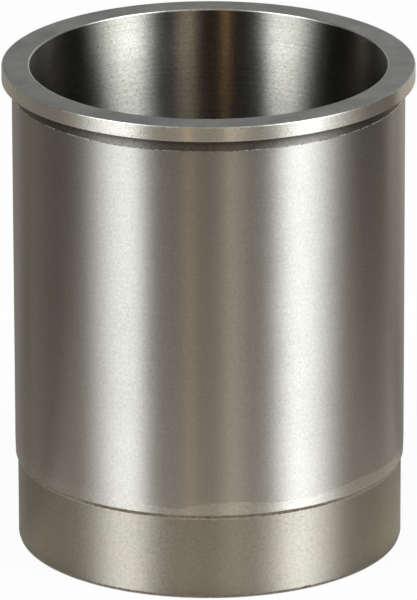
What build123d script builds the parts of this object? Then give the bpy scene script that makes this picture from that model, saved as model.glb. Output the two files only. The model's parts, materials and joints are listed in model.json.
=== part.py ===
"""Flanged dry cylinder liner, turned, bored and ground from one iron casting.

It stands on its foot with the bore's axis on Z, the origin at the middle of the foot
and the flange at the top. Lengths are in millimetres, and heights are measured along
the axis.
"""

import os

from build123d import *

# Main sizes: the wall is that of the ground body, which is 111.3 across
overall_length = 140.9
bore_diameter = 101.2
wall_thickness = 5.05

# Flange that hangs the liner in the block's counterbore
flange_overhang = 2.85
flange_height = 4.25
flange_rim_chamfer = 0.3
flange_seat_chamfer = 0.15

# Relief turned under the flange, where the grinding of the body and the seat run out
relief_height = 3.85
relief_depth = 0.35
relief_corner_radius = 0.25

# Shallow lead-in taper at the lower end of the ground body, which starts it in the block
lead_height = 3.4
lead_drop = 0.1

# Spigot, the turned lower end, and the down-facing shoulder between the body and it
spigot_drop = 0.75
spigot_height = 24.0
shoulder_height = 1.2

# Lead-in taper round the spigot's lower edge
foot_taper_height = 0.9
foot_taper_drop = 0.3

# Edges of the bore
bore_mouth_chamfer = 0.4
bore_foot_chamfer = 0.6

# Radii
bore_radius = bore_diameter / 2
body_radius = bore_radius + wall_thickness
flange_radius = body_radius + flange_overhang
relief_radius = body_radius - relief_depth
lead_radius = body_radius - lead_drop
spigot_radius = body_radius - spigot_drop

# Heights above the foot
shoulder_top = spigot_height + shoulder_height
body_foot = shoulder_top + lead_height
flange_seat = overall_length - flange_height
body_top = flange_seat - relief_height
relief_foot = body_top + relief_depth

os.makedirs("parts", exist_ok=True)


# The liner: half of the wall's section, swept once round the bore's axis
with BuildPart() as cylinder_liner:
    with BuildSketch(Plane.XZ) as wall_section:
        with BuildLine():
            Polyline(
                (bore_radius, 0),
                (spigot_radius, 0),
                (spigot_radius, spigot_height),
                (lead_radius, shoulder_top),
                (body_radius, body_foot),
                (body_radius, body_top),
                (relief_radius, relief_foot),
                (relief_radius, flange_seat),
                (flange_radius, flange_seat),
                (flange_radius, overall_length),
                (bore_radius, overall_length),
                close=True,
            )
        make_face()

        # The relief meets the flange's seat in a rounded corner, which spares the flange
        seat_corners = wall_section.vertices().group_by(Axis.Y)[-2]
        fillet(seat_corners.sort_by(Axis.X)[0], radius=relief_corner_radius)
    revolve(axis=Axis.Z)

    # Edges broken on the top face: round the flange, and into the bore's mouth
    top_edges = faces().sort_by(Axis.Z)[-1].edges().sort_by(SortBy.RADIUS)
    chamfer(top_edges[-1], length=flange_rim_chamfer)
    chamfer(top_edges[0], length=bore_mouth_chamfer)

    # Edges broken on the foot: a long taper outside, and a plain chamfer inside
    foot_face = faces().sort_by(Axis.Z)[0]
    foot_edges = foot_face.edges().sort_by(SortBy.RADIUS)
    chamfer(foot_edges[-1], length=foot_taper_drop, length2=foot_taper_height, reference=foot_face)
    chamfer(foot_edges[0], length=bore_foot_chamfer)

    # The seat's outer edge, broken so that it clears the corner of the counterbore
    seat_face = faces().filter_by(GeomType.PLANE).sort_by(Axis.Z)[1]
    chamfer(seat_face.edges().sort_by(SortBy.RADIUS)[-1], length=flange_seat_chamfer)

cylinder_liner.part.label = "cylinder_liner"
export_step(cylinder_liner.part, "parts/cylinder_liner.step")
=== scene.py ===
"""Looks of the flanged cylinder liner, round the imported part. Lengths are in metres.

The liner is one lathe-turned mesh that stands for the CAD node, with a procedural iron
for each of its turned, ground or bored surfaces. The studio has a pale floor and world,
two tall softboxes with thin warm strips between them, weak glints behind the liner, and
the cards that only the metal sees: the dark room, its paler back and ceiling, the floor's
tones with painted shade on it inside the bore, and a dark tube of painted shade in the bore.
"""

import json
import math
import random

import bpy
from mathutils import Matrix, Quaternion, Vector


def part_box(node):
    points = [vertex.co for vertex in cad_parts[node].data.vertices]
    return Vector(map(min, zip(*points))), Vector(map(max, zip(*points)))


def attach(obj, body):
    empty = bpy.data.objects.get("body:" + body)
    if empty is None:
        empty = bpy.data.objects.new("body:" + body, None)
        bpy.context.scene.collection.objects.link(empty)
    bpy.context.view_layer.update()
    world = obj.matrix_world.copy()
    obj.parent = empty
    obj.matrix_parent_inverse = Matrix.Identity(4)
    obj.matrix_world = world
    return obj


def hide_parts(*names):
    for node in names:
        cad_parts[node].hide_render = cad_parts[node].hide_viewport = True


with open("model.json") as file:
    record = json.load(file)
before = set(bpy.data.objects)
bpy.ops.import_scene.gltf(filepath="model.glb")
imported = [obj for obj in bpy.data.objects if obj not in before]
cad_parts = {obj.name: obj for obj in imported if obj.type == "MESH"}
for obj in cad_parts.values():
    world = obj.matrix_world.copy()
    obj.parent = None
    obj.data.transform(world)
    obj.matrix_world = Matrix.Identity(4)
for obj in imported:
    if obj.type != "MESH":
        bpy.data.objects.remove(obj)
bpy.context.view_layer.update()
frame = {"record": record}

MM = 0.001
NODE = "cylinder_liner"

# ---------------------------------------------------------------------------
# Sizes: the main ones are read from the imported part
# ---------------------------------------------------------------------------

MOUNTS = {mount["name"]: mount for mount in frame["record"]["mounts"]}


def mount_radius(name):
    return MOUNTS[name]["dims"]["r_mm"] * MM


def mount_height(name):
    return MOUNTS[name]["pos_m"][2]


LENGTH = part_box(NODE)[1].z
BORE = mount_radius("bore")
BODY = mount_radius("body_outside")
SPIGOT = mount_radius("spigot_outside")
FLANGE = mount_radius("flange_outside")
SEAT = mount_height("flange_seat")

# The small forms between those surfaces, with the sizes that they have on the part
RELIEF_DEPTH = 0.35 * MM
RELIEF_CORNER = 0.25 * MM
RELIEF_HEIGHT = 3.85 * MM
LEAD_DROP = 0.1 * MM
LEAD_HEIGHT = 3.4 * MM
SHOULDER_HEIGHT = 1.2 * MM
SPIGOT_HEIGHT = 24.0 * MM
FOOT_TAPER_DROP = 0.3 * MM
FOOT_TAPER_HEIGHT = 0.9 * MM
FLANGE_RIM_CHAMFER = 0.3 * MM
FLANGE_SEAT_CHAMFER = 0.15 * MM
BORE_MOUTH_CHAMFER = 0.4 * MM
BORE_FOOT_CHAMFER = 0.6 * MM

SHOULDER_TOP = SPIGOT_HEIGHT + SHOULDER_HEIGHT
BODY_FOOT = SHOULDER_TOP + LEAD_HEIGHT
BODY_TOP = SEAT - RELIEF_HEIGHT

# Too fine for the part: the run-out's lip, from which the relief's wall slants in to an
# upright stretch below the seat, and the tool's small step at the top of the spigot
RELIEF_LIP = 0.2 * MM
RELIEF_UPRIGHT = 1.4 * MM
STEP_FOOT = 0.3 * MM
STEP_FOOT_RISE = 0.02 * MM

# ---------------------------------------------------------------------------
# Camera, at the photograph's viewing angle
# ---------------------------------------------------------------------------

IMAGE_LONG_SIDE = 600
FOCAL_PIXELS = 8406.3
SENSOR = 36.0
VIEW_ELEVATION = 0.339
VIEW_DISTANCE = 2.3976
VIEW_ROLL = 0.0028
AIM_X = -0.17 * MM
AIM_HEIGHT = LENGTH - 71.04 * MM
CLIP_START = 0.1
CLIP_END = 60.0


def make_camera():
    data = bpy.data.cameras.new("camera")
    data.sensor_width = SENSOR
    data.lens = FOCAL_PIXELS / IMAGE_LONG_SIDE * SENSOR
    data.clip_start = CLIP_START
    data.clip_end = CLIP_END
    camera = bpy.data.objects.new("camera", data)
    bpy.context.scene.collection.objects.link(camera)
    camera.location = (
        AIM_X,
        -VIEW_DISTANCE * math.cos(VIEW_ELEVATION),
        AIM_HEIGHT + VIEW_DISTANCE * math.sin(VIEW_ELEVATION),
    )
    tilt = Quaternion((1, 0, 0), math.pi / 2 - VIEW_ELEVATION)
    roll = Quaternion((0, 0, 1), -VIEW_ROLL)
    camera.rotation_mode = "QUATERNION"
    camera.rotation_quaternion = tilt @ roll
    bpy.context.scene.camera = camera


# ---------------------------------------------------------------------------
# Shader helpers
# ---------------------------------------------------------------------------


def new_tree(owner):
    """An empty node tree for a material or a world."""
    owner.use_nodes = True
    tree = owner.node_tree
    tree.nodes.clear()
    return tree


def add(tree, kind, inputs=None, **settings):
    """Adds a node. inputs maps a socket's name or index to a value or to another node's output."""
    node = tree.nodes.new(kind)
    for name, value in settings.items():
        setattr(node, name, value)
    for key, value in (inputs or {}).items():
        if isinstance(value, bpy.types.NodeSocket):
            tree.links.new(value, node.inputs[key])
        else:
            node.inputs[key].default_value = value
    return node


def math_node(tree, operation, a, b, clamp=False):
    node = add(tree, "ShaderNodeMath", {0: a, 1: b}, operation=operation, use_clamp=clamp)
    return node.outputs[0]


def product(tree, factors):
    result = factors[0]
    for factor in factors[1:]:
        result = math_node(tree, "MULTIPLY", result, factor)
    return result


def ramp(tree, value, low, high, to_low=0.0, to_high=1.0, smooth=True):
    """Maps low to to_low and high to to_high, and holds them beyond. low may be the larger."""
    node = add(
        tree,
        "ShaderNodeMapRange",
        {"Value": value, "From Min": low, "From Max": high, "To Min": to_low, "To Max": to_high},
        interpolation_type="SMOOTHSTEP" if smooth else "LINEAR",
    )
    return node.outputs["Result"]


def noise(tree, scale, detail, seed, roughness=0.5):
    """3-D noise in the part's own frame. scale is its count per metre along x, y and z."""
    place = add(tree, "ShaderNodeTexCoord").outputs["Object"]
    mapped = add(
        tree,
        "ShaderNodeMapping",
        {"Vector": place, "Location": (seed, seed, seed), "Scale": scale},
    )
    node = add(
        tree,
        "ShaderNodeTexNoise",
        {"Vector": mapped.outputs[0], "Scale": 1.0, "Detail": detail, "Roughness": roughness},
    )
    return node.outputs["Fac"]


def rgba(colour):
    return (*colour, 1.0)


# ---------------------------------------------------------------------------
# The iron
# ---------------------------------------------------------------------------

# Most of a noise's values lie between these two
NOISE_LOW = 0.25
NOISE_HIGH = 0.75

GRAIN_SEED = 11.0
LINE_SEED = 5.0
BLOTCH_SEED = 3.0
PIT_SEED = 23.0

# Counts per metre along x, y and z
PLAIN_GRAIN = (1250, 1250, 1350)
FINE_GRAIN = (1600, 1600, 1700)
ROUND_GRAIN = (1200, 1200, 2100)
UPRIGHT_GRAIN = (2500, 2500, 1500)
GLINT_SPECKLE_GRAIN = (1500, 1500, 900)
COARSE_GRAIN = (1200, 1200, 1300)
TOOL_LINES = (12, 12, 2600)
PITS = (1100, 1100, 1100)

# A pit starts and is full where its noise passes these
PIT_START = 0.66
PIT_FULL = 0.72

# How far the roughness varies with the grain and with the blotches
GRAIN_ROUGHNESS = 0.08
BLOTCH_ROUGHNESS = 0.06

# Turns the highlights upright, across the round tool marks
QUARTER_TURN = 0.25

# Share of a scratch's width within which it is at its strongest
SCRATCH_CORE = 0.3


def spread(tree, value, amount):
    """Turns noise into a factor that varies about 1 by about the amount."""
    return ramp(tree, value, NOISE_LOW, NOISE_HIGH, 1 - amount, 1 + amount, smooth=False)


def iron(
    name,
    colour,
    roughness,
    anisotropy,
    grain,
    size=PLAIN_GRAIN,
    lines=0.02,
    tint=0.04,
    patch=70,
    pits=0.0,
    depth=0.0005 * MM,
    painted_shade=None,
    scratches=(),
):
    """Bare machined iron, with its grain, tool lines, blotches, dark pits, scratches and painted shade.

    grain, lines, tint and pits are how strongly each shows. size is the grain's count per
    metre along x, y and z, patch is the blotches', and depth is how deep the grain is.
    Where painted shade is given, the colour is multiplied by its last number at the first of
    its two places along its axis, and comes back to itself at the second.
    """
    material = bpy.data.materials.new(name)
    tree = new_tree(material)
    speck = noise(tree, size, detail=1.5, seed=GRAIN_SEED)
    line = noise(tree, TOOL_LINES, detail=2, seed=LINE_SEED, roughness=0.6)
    blotch = noise(tree, (patch, patch, patch), detail=4, seed=BLOTCH_SEED)
    pit = ramp(tree, noise(tree, PITS, detail=1, seed=PIT_SEED), PIT_START, PIT_FULL)
    factors = [
        spread(tree, speck, grain),
        spread(tree, line, lines),
        spread(tree, blotch, tint),
        ramp(tree, pit, 0.0, 1.0, 1.0, 1 - pits),
    ]
    if painted_shade:
        axis, start, end, factor = painted_shade
        place = add(tree, "ShaderNodeTexCoord").outputs["Object"]
        along = add(tree, "ShaderNodeSeparateXYZ", {0: place}).outputs[axis]
        factors.append(ramp(tree, along, start, end, factor, 1.0))
    for scratch in scratches:
        factors.append(scratch_shade(tree, *scratch))
    shade = product(tree, factors)
    shaded = add(tree, "ShaderNodeVectorMath", {0: colour, 3: shade}, operation="SCALE")
    bump = add(tree, "ShaderNodeBump", {"Height": speck, "Strength": 1.0, "Distance": depth})
    grain_rough = spread(tree, speck, GRAIN_ROUGHNESS)
    blotch_rough = spread(tree, blotch, BLOTCH_ROUGHNESS)
    tangent = add(tree, "ShaderNodeTangent", direction_type="RADIAL", axis="Z")
    shader = add(
        tree,
        "ShaderNodeBsdfPrincipled",
        {
            "Base Color": shaded.outputs[0],
            "Metallic": 1.0,
            "Roughness": product(tree, [grain_rough, blotch_rough, roughness]),
            "Anisotropic": anisotropy,
            "Anisotropic Rotation": QUARTER_TURN,
            "Normal": bump.outputs[0],
            "Tangent": tangent.outputs[0],
        },
    )
    add(tree, "ShaderNodeOutputMaterial", {"Surface": shader.outputs[0]})
    return material


def scratch_shade(tree, start, end, width, factor):
    """The factor along a straight scratch between two points, and 1 away from it."""
    along = tuple(b - a for a, b in zip(start, end))
    squared = sum(part * part for part in along)
    place = add(tree, "ShaderNodeTexCoord").outputs["Object"]
    from_start = add(tree, "ShaderNodeVectorMath", {0: place, 1: start}, operation="SUBTRACT").outputs[0]
    dot = add(tree, "ShaderNodeVectorMath", {0: from_start, 1: along}, operation="DOT_PRODUCT")
    share = math_node(tree, "DIVIDE", dot.outputs["Value"], squared, clamp=True)
    nearest = add(tree, "ShaderNodeVectorMath", {0: along, 3: share}, operation="SCALE").outputs[0]
    gap = add(tree, "ShaderNodeVectorMath", {0: from_start, 1: nearest}, operation="DISTANCE")
    return ramp(tree, gap.outputs["Value"], SCRATCH_CORE * width, width, factor, 1.0)


# Scratches, a nick and a bright hair: start, end, width and the factor on the colour
SPIGOT_SCRATCH = ((25.2 * MM, -48.8 * MM, 22.2 * MM), (26.9 * MM, -47.85 * MM, 22.0 * MM), 0.2 * MM, 0.7)
FOOT_NICK = ((26.7 * MM, -47.95 * MM, 0.75 * MM), (28.2 * MM, -47.1 * MM, 0.8 * MM), 0.45 * MM, 0.5)
LEAD_SCRATCHES = (
    ((22.3 * MM, -51.0 * MM, 27.1 * MM), (26.5 * MM, -48.9 * MM, 27.4 * MM), 0.22 * MM, 0.75),
    ((26.5 * MM, -48.9 * MM, 27.4 * MM), (30.5 * MM, -46.5 * MM, 27.8 * MM), 0.22 * MM, 0.75),
)
BORE_HAIR = ((-0.9 * MM, 50.6 * MM, 131.0 * MM), (0.8 * MM, 50.6 * MM, 129.2 * MM), 0.15 * MM, 2.2)

# The iron of each surface
SURFACES = {
    "top_face": dict(
        colour=(0.475, 0.47, 0.448),
        roughness=0.42,
        anisotropy=0.2,
        grain=0.1,
        lines=0.0,
        tint=0.22,
        patch=130,
    ),
    "edge": dict(
        colour=(0.85, 0.84, 0.81),
        roughness=0.35,
        anisotropy=0.3,
        grain=0.15,
    ),
    "flange_rim": dict(
        colour=(0.8, 0.785, 0.75),
        roughness=0.28,
        anisotropy=1.0,
        grain=0.05,
        lines=0.05,
        depth=0.0002 * MM,
    ),
    "relief": dict(
        colour=(0.245, 0.235, 0.213),
        roughness=0.45,
        anisotropy=0.95,
        grain=0.3,
        size=UPRIGHT_GRAIN,
        pits=0.3,
        depth=0.0015 * MM,
        # painted shade of the flange: the colour is darkened just under the seat
        painted_shade=("Z", SEAT - 0.9 * MM, SEAT - 2.9 * MM, 0.5),
    ),
    "ground_body": dict(
        colour=(0.55, 0.54, 0.523),
        roughness=0.4,
        anisotropy=1.0,
        grain=0.13,
        size=FINE_GRAIN,
        lines=0.03,
        pits=0.06,
    ),
    "lead": dict(
        colour=(0.68, 0.67, 0.64),
        roughness=0.4,
        anisotropy=1.0,
        grain=0.15,
        lines=0.05,
        pits=0.06,
        # painted shade: the colour is darkened on the lead-in's left side
        painted_shade=("X", -24 * MM, -10 * MM, 0.84),
        scratches=LEAD_SCRATCHES,
    ),
    # its ragged edge is real, and its strong bright speckle is painted highlights standing in for the
    # edge's glints
    "run_out": dict(
        colour=(0.85, 0.84, 0.82),
        roughness=0.4,
        anisotropy=0.0,
        grain=0.9,
        size=GLINT_SPECKLE_GRAIN,
    ),
    # painted shade: a colour much dimmer than the spigot's, for the dark line at the step
    "shoulder": dict(
        colour=(0.28, 0.25, 0.22),
        roughness=0.5,
        anisotropy=0.5,
        grain=0.5,
        size=COARSE_GRAIN,
    ),
    "spigot": dict(
        colour=(0.485, 0.467, 0.415),
        roughness=0.485,
        anisotropy=0.95,
        grain=0.13,
        size=COARSE_GRAIN,
        lines=0.03,
        pits=0.2,
        scratches=(SPIGOT_SCRATCH, FOOT_NICK),
    ),
    "step_foot": dict(
        colour=(0.56, 0.53, 0.47),
        roughness=0.4,
        anisotropy=0.9,
        grain=0.3,
        size=COARSE_GRAIN,
    ),
    # painted shade: a colour dimmer than the spigot's, for the dark line at the foot
    "foot_taper": dict(
        colour=(0.34, 0.31, 0.28),
        roughness=0.5,
        anisotropy=0.5,
        grain=0.4,
        size=COARSE_GRAIN,
        scratches=(FOOT_NICK,),
    ),
    "bore": dict(
        colour=(0.82, 0.795, 0.715),
        roughness=0.32,
        anisotropy=1.0,
        grain=0.165,
        size=ROUND_GRAIN,
        lines=0.09,
        pits=0.2,
        # painted shade: the colour is darkened near the bore's mouth
        painted_shade=("Z", LENGTH, LENGTH - 10 * MM, 0.85),
        scratches=(BORE_HAIR,),
    ),
}

# ---------------------------------------------------------------------------
# The liner's mesh
# ---------------------------------------------------------------------------

SEGMENTS = 1440
EDGE_STEPS = 5
CORNER_STEPS = 4

GRINDING_SEED = 4
GRINDING_WAVER = 0.06 * MM

# The lead-in's upper edge passes through knots spaced evenly round the liner and counted
# to the right. Each is a height in mm past the true edge: the first are judged from the
# photograph, and the rest are drawn. The front knot faces the camera.
LEAD_SEED = 9
LEAD_WAVER = 0.6
LEAD_KNOTS = 36
LEAD_FRONT_KNOT = 4
LEAD_EDGE = (0.1, -0.4, -1.0, -1.5, 0.2, 0.5, -0.7, -0.7, -0.2, 0.4)


def arc(centre, radius, start, end, steps, surface):
    """Rings along an arc of the section, short of its last point. Angles are in quarter turns."""
    rings = []
    for step in range(steps):
        angle = math.pi / 2 * (start + (end - start) * step / steps)
        radial = centre[0] + radius * math.cos(angle)
        height = centre[1] + radius * math.sin(angle)
        rings.append((radial, height, surface, step == 0))
    return rings


def outline():
    """The wall's section from the bore's foot, out and up and back into the bore.

    A ring is its radius, its height, the surface from it to the next ring and whether the
    section bends sharply there. Small rounds as wide as the part's chamfers break the edges.
    """
    foot = SPIGOT - FOOT_TAPER_DROP
    relief = BODY - RELIEF_DEPTH
    corner = (relief + RELIEF_CORNER, SEAT - RELIEF_CORNER)
    rim = (FLANGE - FLANGE_RIM_CHAMFER, LENGTH - FLANGE_RIM_CHAMFER)
    seat_edge = (FLANGE - FLANGE_SEAT_CHAMFER, SEAT + FLANGE_SEAT_CHAMFER)
    mouth = (BORE + BORE_MOUTH_CHAMFER, LENGTH - BORE_MOUTH_CHAMFER)
    return [
        (BORE + BORE_FOOT_CHAMFER, 0.0, "spigot", True),
        (foot, 0.0, "foot_taper", True),
        (SPIGOT, FOOT_TAPER_HEIGHT, "spigot", True),
        (SPIGOT, SPIGOT_HEIGHT - STEP_FOOT, "step_foot", True),
        (SPIGOT + STEP_FOOT_RISE, SPIGOT_HEIGHT, "shoulder", True),
        (BODY - LEAD_DROP, SHOULDER_TOP, "lead", True),
        (BODY, BODY_FOOT, "ground_body", True),
        (BODY, BODY_TOP, "run_out", True),
        (BODY - RELIEF_LIP, BODY_TOP + RELIEF_LIP, "relief", True),
        (relief, SEAT - RELIEF_UPRIGHT, "relief", False),
        *arc(corner, RELIEF_CORNER, 2, 1, CORNER_STEPS, "relief"),
        (corner[0], SEAT, "relief", True),
        *arc(seat_edge, FLANGE_SEAT_CHAMFER, -1, 0, EDGE_STEPS, "flange_rim"),
        (FLANGE, seat_edge[1], "flange_rim", True),
        *arc(rim, FLANGE_RIM_CHAMFER, 0, 1, EDGE_STEPS, "edge"),
        (rim[0], LENGTH, "top_face", True),
        *arc(mouth, BORE_MOUTH_CHAMFER, 1, 2, EDGE_STEPS, "edge"),
        (BORE, mouth[1], "bore", True),
        (BORE, BORE_FOOT_CHAMFER, "edge", True),
    ]


def eased(share):
    """A share from 0 to 1 that leaves and arrives softly."""
    return share * share * (3 - 2 * share)


def grinding_edge():
    """How far each point of the grinding's ragged upper edge is raised."""
    draw = random.Random(GRINDING_SEED)
    raw = [draw.uniform(-1, 1) for _ in range(SEGMENTS)]
    return [GRINDING_WAVER * (raw[step] + raw[step - 1]) / 2 for step in range(SEGMENTS)]


def lead_edge():
    """How far each point of the lead-in's uneven upper edge is raised."""
    draw = random.Random(LEAD_SEED)
    drawn = [draw.uniform(-LEAD_WAVER, LEAD_WAVER) for _ in range(LEAD_KNOTS - len(LEAD_EDGE))]
    knots = [height * MM for height in (*LEAD_EDGE, *drawn)]
    raised = []
    for step in range(SEGMENTS):
        place = (step / SEGMENTS * LEAD_KNOTS + LEAD_FRONT_KNOT) % LEAD_KNOTS
        before = knots[int(place)]
        after = knots[(int(place) + 1) % LEAD_KNOTS]
        raised.append(before + (after - before) * eased(place % 1))
    return raised


def waver(surface):
    """How far each point of the ring where a surface starts is raised: two are uneven."""
    if surface == "run_out":
        return grinding_edge()
    if surface == "ground_body":
        return lead_edge()
    return [0.0] * SEGMENTS


def turned(name, rings):
    """A closed mesh of revolution: each ring joins the next, and the last joins the first."""
    names = list(dict.fromkeys(surface for _, _, surface, _ in rings))
    vertices = []
    for radius, height, surface, _ in rings:
        raised = waver(surface)
        for step in range(SEGMENTS):
            angle = 2 * math.pi * step / SEGMENTS
            across = radius * math.sin(angle)
            forward = -radius * math.cos(angle)
            vertices.append((across, forward, height + raised[step]))
    faces = []
    slots = []
    sharp = {}
    for index, (_, _, surface, bends) in enumerate(rings):
        near = index * SEGMENTS
        far = (index + 1) % len(rings) * SEGMENTS
        for step in range(SEGMENTS):
            after = (step + 1) % SEGMENTS
            faces.append((near + step, near + after, far + after, far + step))
            sharp[frozenset((near + step, near + after))] = bends
        slots.extend([names.index(surface)] * SEGMENTS)
    mesh = bpy.data.meshes.new(name)
    mesh.from_pydata(vertices, [], faces)
    for surface in names:
        mesh.materials.append(iron(surface, **SURFACES[surface]))
    mesh.polygons.foreach_set("material_index", slots)
    mesh.shade_smooth()
    mesh.update()
    edges = mesh.attributes.new("sharp_edge", "BOOLEAN", "EDGE")
    edges.data.foreach_set("value", [sharp.get(frozenset(edge.vertices), False) for edge in mesh.edges])
    piece = bpy.data.objects.new(name, mesh)
    bpy.context.scene.collection.objects.link(piece)
    return piece


# ---------------------------------------------------------------------------
# Studio: the pale floor and world
# ---------------------------------------------------------------------------

NEUTRAL = (1.0, 1.0, 1.0)
AMBIENT = 0.5
FLOOR_SIZE = 30.0
FLOOR_COLOUR = (0.88, 0.88, 0.88)
FLOOR_WHITE_SHARE = 0.92


def seen_directly(tree):
    """1 for camera, glossy and transmission rays, which see the background at its own white."""
    path = add(tree, "ShaderNodeLightPath")
    either = math_node(tree, "MAXIMUM", path.outputs["Is Camera Ray"], path.outputs["Is Glossy Ray"])
    return math_node(tree, "MAXIMUM", either, path.outputs["Is Transmission Ray"])


def make_floor():
    mesh = bpy.data.meshes.new("floor")
    half = FLOOR_SIZE / 2
    corners = [(-half, -half, 0), (half, -half, 0), (half, half, 0), (-half, half, 0)]
    mesh.from_pydata(corners, [], [(0, 1, 2, 3)])
    floor = bpy.data.objects.new("floor", mesh)
    bpy.context.scene.collection.objects.link(floor)
    material = bpy.data.materials.new("floor")
    tree = new_tree(material)
    lit = add(tree, "ShaderNodeBsdfDiffuse", {"Color": rgba(FLOOR_COLOUR)})
    white = add(tree, "ShaderNodeEmission", {"Color": rgba(NEUTRAL), "Strength": 1.0})
    share = math_node(tree, "MULTIPLY", seen_directly(tree), FLOOR_WHITE_SHARE)
    both = add(tree, "ShaderNodeMixShader", {0: share, 1: lit.outputs[0], 2: white.outputs[0]})
    add(tree, "ShaderNodeOutputMaterial", {"Surface": both.outputs[0]})
    mesh.materials.append(material)


def make_world():
    world = bpy.data.worlds.new("studio")
    bpy.context.scene.world = world
    tree = new_tree(world)
    ambient = add(tree, "ShaderNodeBackground", {"Color": rgba(NEUTRAL), "Strength": AMBIENT})
    white = add(tree, "ShaderNodeBackground", {"Color": rgba(NEUTRAL), "Strength": 1.0})
    share = seen_directly(tree)
    both = add(tree, "ShaderNodeMixShader", {0: share, 1: ambient.outputs[0], 2: white.outputs[0]})
    add(tree, "ShaderNodeOutputWorld", {"Surface": both.outputs[0]})


# ---------------------------------------------------------------------------
# Studio: glowing cards bent round the liner's axis
#
# Azimuths are in degrees, 0 towards the camera and positive to the right. Elevations are
# in degrees too, as seen from the liner's foot.
# ---------------------------------------------------------------------------

CARD_STEP = 4

# The liner's contact shadow on the floor's card, and the brighter floor just beyond it
SHADOW_START = 54 * MM
SHADOW_END = 62 * MM
SHADOW_FACTOR = 0.5
BRIGHT_END = 150 * MM
BRIGHT_FACTOR = 1.25


def rise(elevation, radius):
    """Height at which a card of that radius stands at an elevation."""
    return radius * math.tan(math.radians(elevation))


def bell(tree, full):
    """0 at both ends of a card, rising softly to 1 between two shares of the way across."""
    across = add(tree, "ShaderNodeAttribute", attribute_name="across").outputs["Fac"]
    rising = ramp(tree, across, 0.0, full[0])
    falling = ramp(tree, across, full[1], 1.0, 1.0, 0.0)
    return math_node(tree, "MULTIPLY", rising, falling)


def contact_shadow(tree):
    """The factor on a floor card's radiance, by the distance from the liner's axis."""
    place = add(tree, "ShaderNodeTexCoord").outputs["Object"]
    away = add(tree, "ShaderNodeVectorMath", {0: place}, operation="LENGTH").outputs["Value"]
    shadow = ramp(tree, away, SHADOW_START, SHADOW_END, SHADOW_FACTOR, 1.0)
    bright = ramp(tree, away, SHADOW_END, BRIGHT_END, BRIGHT_FACTOR, 1.0)
    return math_node(tree, "MULTIPLY", shadow, bright)


def bent(name, rows, colour, radiances, full=None, grounded=False, step=CARD_STEP):
    """A glowing card bent round the axis, which the camera doesn't see.

    A row is two azimuths, a radius and a height, and its radiance is a number or a function
    of the azimuth. Where full is given, the card is at its brightest between those two shares
    of the way across and fades to its ends. A grounded one has the liner's contact shadow.
    """
    steps = max(2, round((rows[0][1] - rows[0][0]) / step))
    vertices = []
    shares = []
    glows = []
    for index in range(steps + 1):
        share = index / steps
        for (start, end, radius, height), radiance in zip(rows, radiances):
            azimuth = math.radians(start + (end - start) * share)
            vertices.append((radius * math.sin(azimuth), -radius * math.cos(azimuth), height))
            shares.append(share)
            glows.append(radiance(math.degrees(azimuth)) if callable(radiance) else radiance)
    count = len(rows)
    faces = []
    for index in range(steps):
        for row in range(count - 1):
            corner = index * count + row
            faces.append((corner, corner + 1, corner + 1 + count, corner + count))
    mesh = bpy.data.meshes.new(name)
    mesh.from_pydata(vertices, [], faces)
    mesh.attributes.new("across", "FLOAT", "POINT").data.foreach_set("value", shares)
    mesh.attributes.new("glow", "FLOAT", "POINT").data.foreach_set("value", glows)
    material = bpy.data.materials.new(name)
    tree = new_tree(material)
    strength = add(tree, "ShaderNodeAttribute", attribute_name="glow").outputs["Fac"]
    if full is not None:
        strength = math_node(tree, "MULTIPLY", bell(tree, full), strength)
    if grounded:
        strength = math_node(tree, "MULTIPLY", contact_shadow(tree), strength)
    shader = add(tree, "ShaderNodeEmission", {"Color": rgba(colour), "Strength": strength})
    add(tree, "ShaderNodeOutputMaterial", {"Surface": shader.outputs[0]})
    mesh.materials.append(material)
    piece = bpy.data.objects.new(name, mesh)
    bpy.context.scene.collection.objects.link(piece)
    piece.visible_camera = False
    return piece


def metal_only(card):
    """The card is seen in the metal and by nothing else, and casts no shadow."""
    card.visible_diffuse = False
    card.visible_transmission = False
    card.visible_volume_scatter = False
    card.visible_shadow = False


# ---------------------------------------------------------------------------
# Studio: what the metal sees of the room
# ---------------------------------------------------------------------------

ROOM_RADIUS = 4.0
ROOM_DARK = 0.003
ROOM_TOP = 60
BACK_START = 138
BACK_TOP = 30
BACK_LEFT_GLOW = 0.33
BACK_RIGHT_GLOW = 0.54
BACK_ABOVE_GLOW = 0.1

# The two halves of the ceiling: each one's name, where it starts and its radiance
CEILING = (("room_above", -90, 0.08), ("room_above_back", 90, 0.4))
CEILING_HOLE = 10 * MM


def wall_card(name, start, end, low, high, radiance):
    """What the metal sees of the room, between two azimuths and two elevations."""
    foot = (start, end, ROOM_RADIUS, rise(low, ROOM_RADIUS))
    head = (start, end, ROOM_RADIUS, rise(high, ROOM_RADIUS))
    metal_only(bent(name, (foot, head), NEUTRAL, (radiance, radiance)))


def make_room():
    wall_card("room", -BACK_START, BACK_START, 0, ROOM_TOP, ROOM_DARK)
    wall_card("room_back_left", -180, -BACK_START, 0, BACK_TOP, BACK_LEFT_GLOW)
    wall_card("room_back_right", BACK_START, 180, 0, BACK_TOP, BACK_RIGHT_GLOW)
    wall_card("room_back_above", BACK_START, 360 - BACK_START, BACK_TOP, ROOM_TOP, BACK_ABOVE_GLOW)
    height = rise(ROOM_TOP, ROOM_RADIUS)
    for name, start, radiance in CEILING:
        edge = (start, start + 180, ROOM_RADIUS, height)
        centre = (start, start + 180, CEILING_HOLE, height)
        metal_only(bent(name, (edge, centre), NEUTRAL, (radiance, radiance)))


# ---------------------------------------------------------------------------
# Studio: what the metal sees inside the bore, and of the floor
# ---------------------------------------------------------------------------

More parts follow.
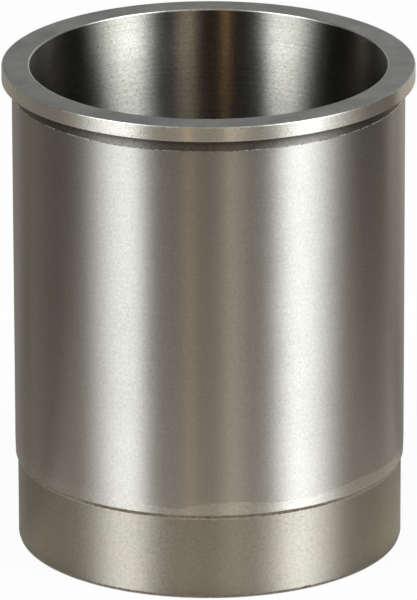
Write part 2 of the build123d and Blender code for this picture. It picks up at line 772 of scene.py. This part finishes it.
# The tube of painted shade in the bore: its gap to the wall, and how far in from each end it stops
SHADE_TUBE_GAP = 0.3 * MM
SHADE_TUBE_INSET = 1.0 * MM
FLOOR_CARD_HEIGHT = 0.1 * MM
FLOOR_CARD_STEP = 3
FLOOR_HOLE = 0.5 * MM
FLOOR_INSIDE_RADIUS = 50.5 * MM
FLOOR_TINT = (1.0, 0.915, 0.775)
FLOOR_BLEND = 14

# Rings of the floor card: each one's radius, and the near, middle or far zone that it is in
FLOOR_RINGS = ((0.0548, 0), (0.15, 0), (0.25, 1), (0.29, 1), (0.38, 2), (4.0, 2))

# Sectors: where each starts, and its radiance in the near, the middle and the far zone
FLOOR_SECTORS = (
    (-180, (0.28, 0.32, 0.31)),
    (-130, (0.32, 0.23, 0.25)),
    (-85, (0.54, 0.37, 0.31)),
    (-25, (0.59, 0.405, 0.28)),
    (30, (0.56, 0.5, 0.29)),
    (91, (0.5, 0.32, 0.14)),
    (123, (0.2, 0.2, 0.48)),
)


def bore_shade_tube():
    """A dark tube of painted shade just inside the bore, which its wall sees opposite. From behind it is
    clear.
    """
    radius = BORE - SHADE_TUBE_GAP
    foot = (-180, 180, radius, SHADE_TUBE_INSET)
    head = (-180, 180, radius, LENGTH - SHADE_TUBE_INSET)
    card = bent("bore_shade_tube", (foot, head), NEUTRAL, (ROOM_DARK, ROOM_DARK))
    metal_only(card)
    tree = card.data.materials[0].node_tree
    glow = tree.nodes["Emission"]
    behind = add(tree, "ShaderNodeNewGeometry").outputs["Backfacing"]
    clear = add(tree, "ShaderNodeBsdfTransparent")
    both = add(tree, "ShaderNodeMixShader", {0: behind, 1: glow.outputs[0], 2: clear.outputs[0]})
    tree.links.new(both.outputs[0], tree.nodes["Material Output"].inputs["Surface"])


def blended(azimuth, zone):
    """The floor's radiance in a zone, with the sectors blended softly where they meet."""
    level = FLOOR_SECTORS[0][1][zone]
    for (_, before), (start, after) in zip(FLOOR_SECTORS, FLOOR_SECTORS[1:]):
        share = min(1.0, max(0.0, (azimuth - start) / FLOOR_BLEND + 0.5))
        level += (after[zone] - before[zone]) * eased(share)
    return level


def floor_cards():
    """Painted shade on the floor inside the bore, and the floor's tones round the liner."""
    middle = (-180, 180, FLOOR_HOLE, FLOOR_CARD_HEIGHT)
    wall = (-180, 180, FLOOR_INSIDE_RADIUS, FLOOR_CARD_HEIGHT)
    # The floor inside the bore is a dark card of painted shade
    metal_only(bent("shaded_floor_inside", (middle, wall), NEUTRAL, (ROOM_DARK, ROOM_DARK)))
    rows = []
    radiances = []
    for radius, zone in FLOOR_RINGS:
        rows.append((-180, 180, radius, FLOOR_CARD_HEIGHT))
        radiances.append(lambda azimuth, zone=zone: blended(azimuth, zone))
    metal_only(bent("floor_card", rows, FLOOR_TINT, radiances, grounded=True, step=FLOOR_CARD_STEP))


# ---------------------------------------------------------------------------
# Studio: the lights
# ---------------------------------------------------------------------------

SOFTBOX_RADIUS = 3.9
SOFTBOX_ROWS = 6
COOL = (0.985, 1.015, 1.02)
COPPER = (1.0, 0.6, 0.3)


def upright(low, high, start, end):
    """The two levels of a light with upright sides."""
    return ((low, start, end), (high, start, end))


# A level is its elevation and the light's two azimuths there. full is the two shares of the
# way across between which the light is at its brightest, and its top is gain times as
# bright as its foot.
LIGHTS = {
    "glint_left": dict(
        levels=upright(0, 40, -132, -108),
        full=(0.5, 0.5),
        colour=(1.0, 0.85, 0.65),
        radiance=0.3,
    ),
    "glint_right": dict(
        levels=upright(0, 40, 116, 142),
        full=(0.5, 0.5),
        colour=(1.0, 0.95, 0.8),
        radiance=0.5,
    ),
    "softbox_left": dict(
        levels=((1, -85, -25), (25, -74, -36), (54, -72, -47)),
        full=(0.42, 0.74),
        colour=COOL,
        radiance=3.05,
        gain=2.3,
    ),
    "softbox_right": dict(
        levels=((1, 28, 93), (25, 34, 80), (54, 43, 78)),
        full=(0.42, 0.57),
        colour=COOL,
        radiance=3.85,
        gain=2.25,
    ),
    "softbox_left_top": dict(
        levels=((54, -73, -47), (77, -76, -40)),
        full=(0.2, 0.8),
        colour=COOL,
        radiance=1.5,
    ),
    "softbox_right_top": dict(
        levels=((54, 41, 74), (77, 36, 80)),
        full=(0.2, 0.8),
        colour=COOL,
        radiance=1.5,
    ),
    "strip_left": dict(
        levels=upright(0, 60, -14.0, -9.0),
        full=(0.4, 0.6),
        colour=COPPER,
        radiance=1.5,
    ),
    "strip_right": dict(
        levels=upright(0, 60, 7.8, 15.2),
        full=(0.4, 0.65),
        colour=(1.0, 0.78, 0.56),
        radiance=1.15,
        gain=3.2,
    ),
    "haze_right": dict(
        levels=upright(9, 50, 9, 25),
        full=(0.35, 0.5),
        colour=(1.0, 0.92, 0.78),
        radiance=1.0,
    ),
}


def softbox(name, levels, full, colour, radiance, gain=1.0):
    """A soft light that stands from its first level to its last."""
    rows = []
    for lower, upper in zip(levels, levels[1:]):
        for step in range(SOFTBOX_ROWS):
            elevation, start, end = (a + (b - a) * step / SOFTBOX_ROWS for a, b in zip(lower, upper))
            rows.append((start, end, SOFTBOX_RADIUS, rise(elevation, SOFTBOX_RADIUS)))
    top, start, end = levels[-1]
    rows.append((start, end, SOFTBOX_RADIUS, rise(top, SOFTBOX_RADIUS)))
    last = len(rows) - 1
    radiances = [radiance * (1 + (gain - 1) * row / last) for row in range(len(rows))]
    bent(name, rows, colour, radiances, full)


def make_studio():
    make_floor()
    make_world()
    make_room()
    bore_shade_tube()
    floor_cards()
    for name, light in LIGHTS.items():
        softbox(name, **light)


# ---------------------------------------------------------------------------
# The whole
# ---------------------------------------------------------------------------

make_camera()
make_studio()

liner = turned("liner", outline())
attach(liner, "root")
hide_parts(NODE)

bpy.context.scene.view_settings.view_transform = "Standard"
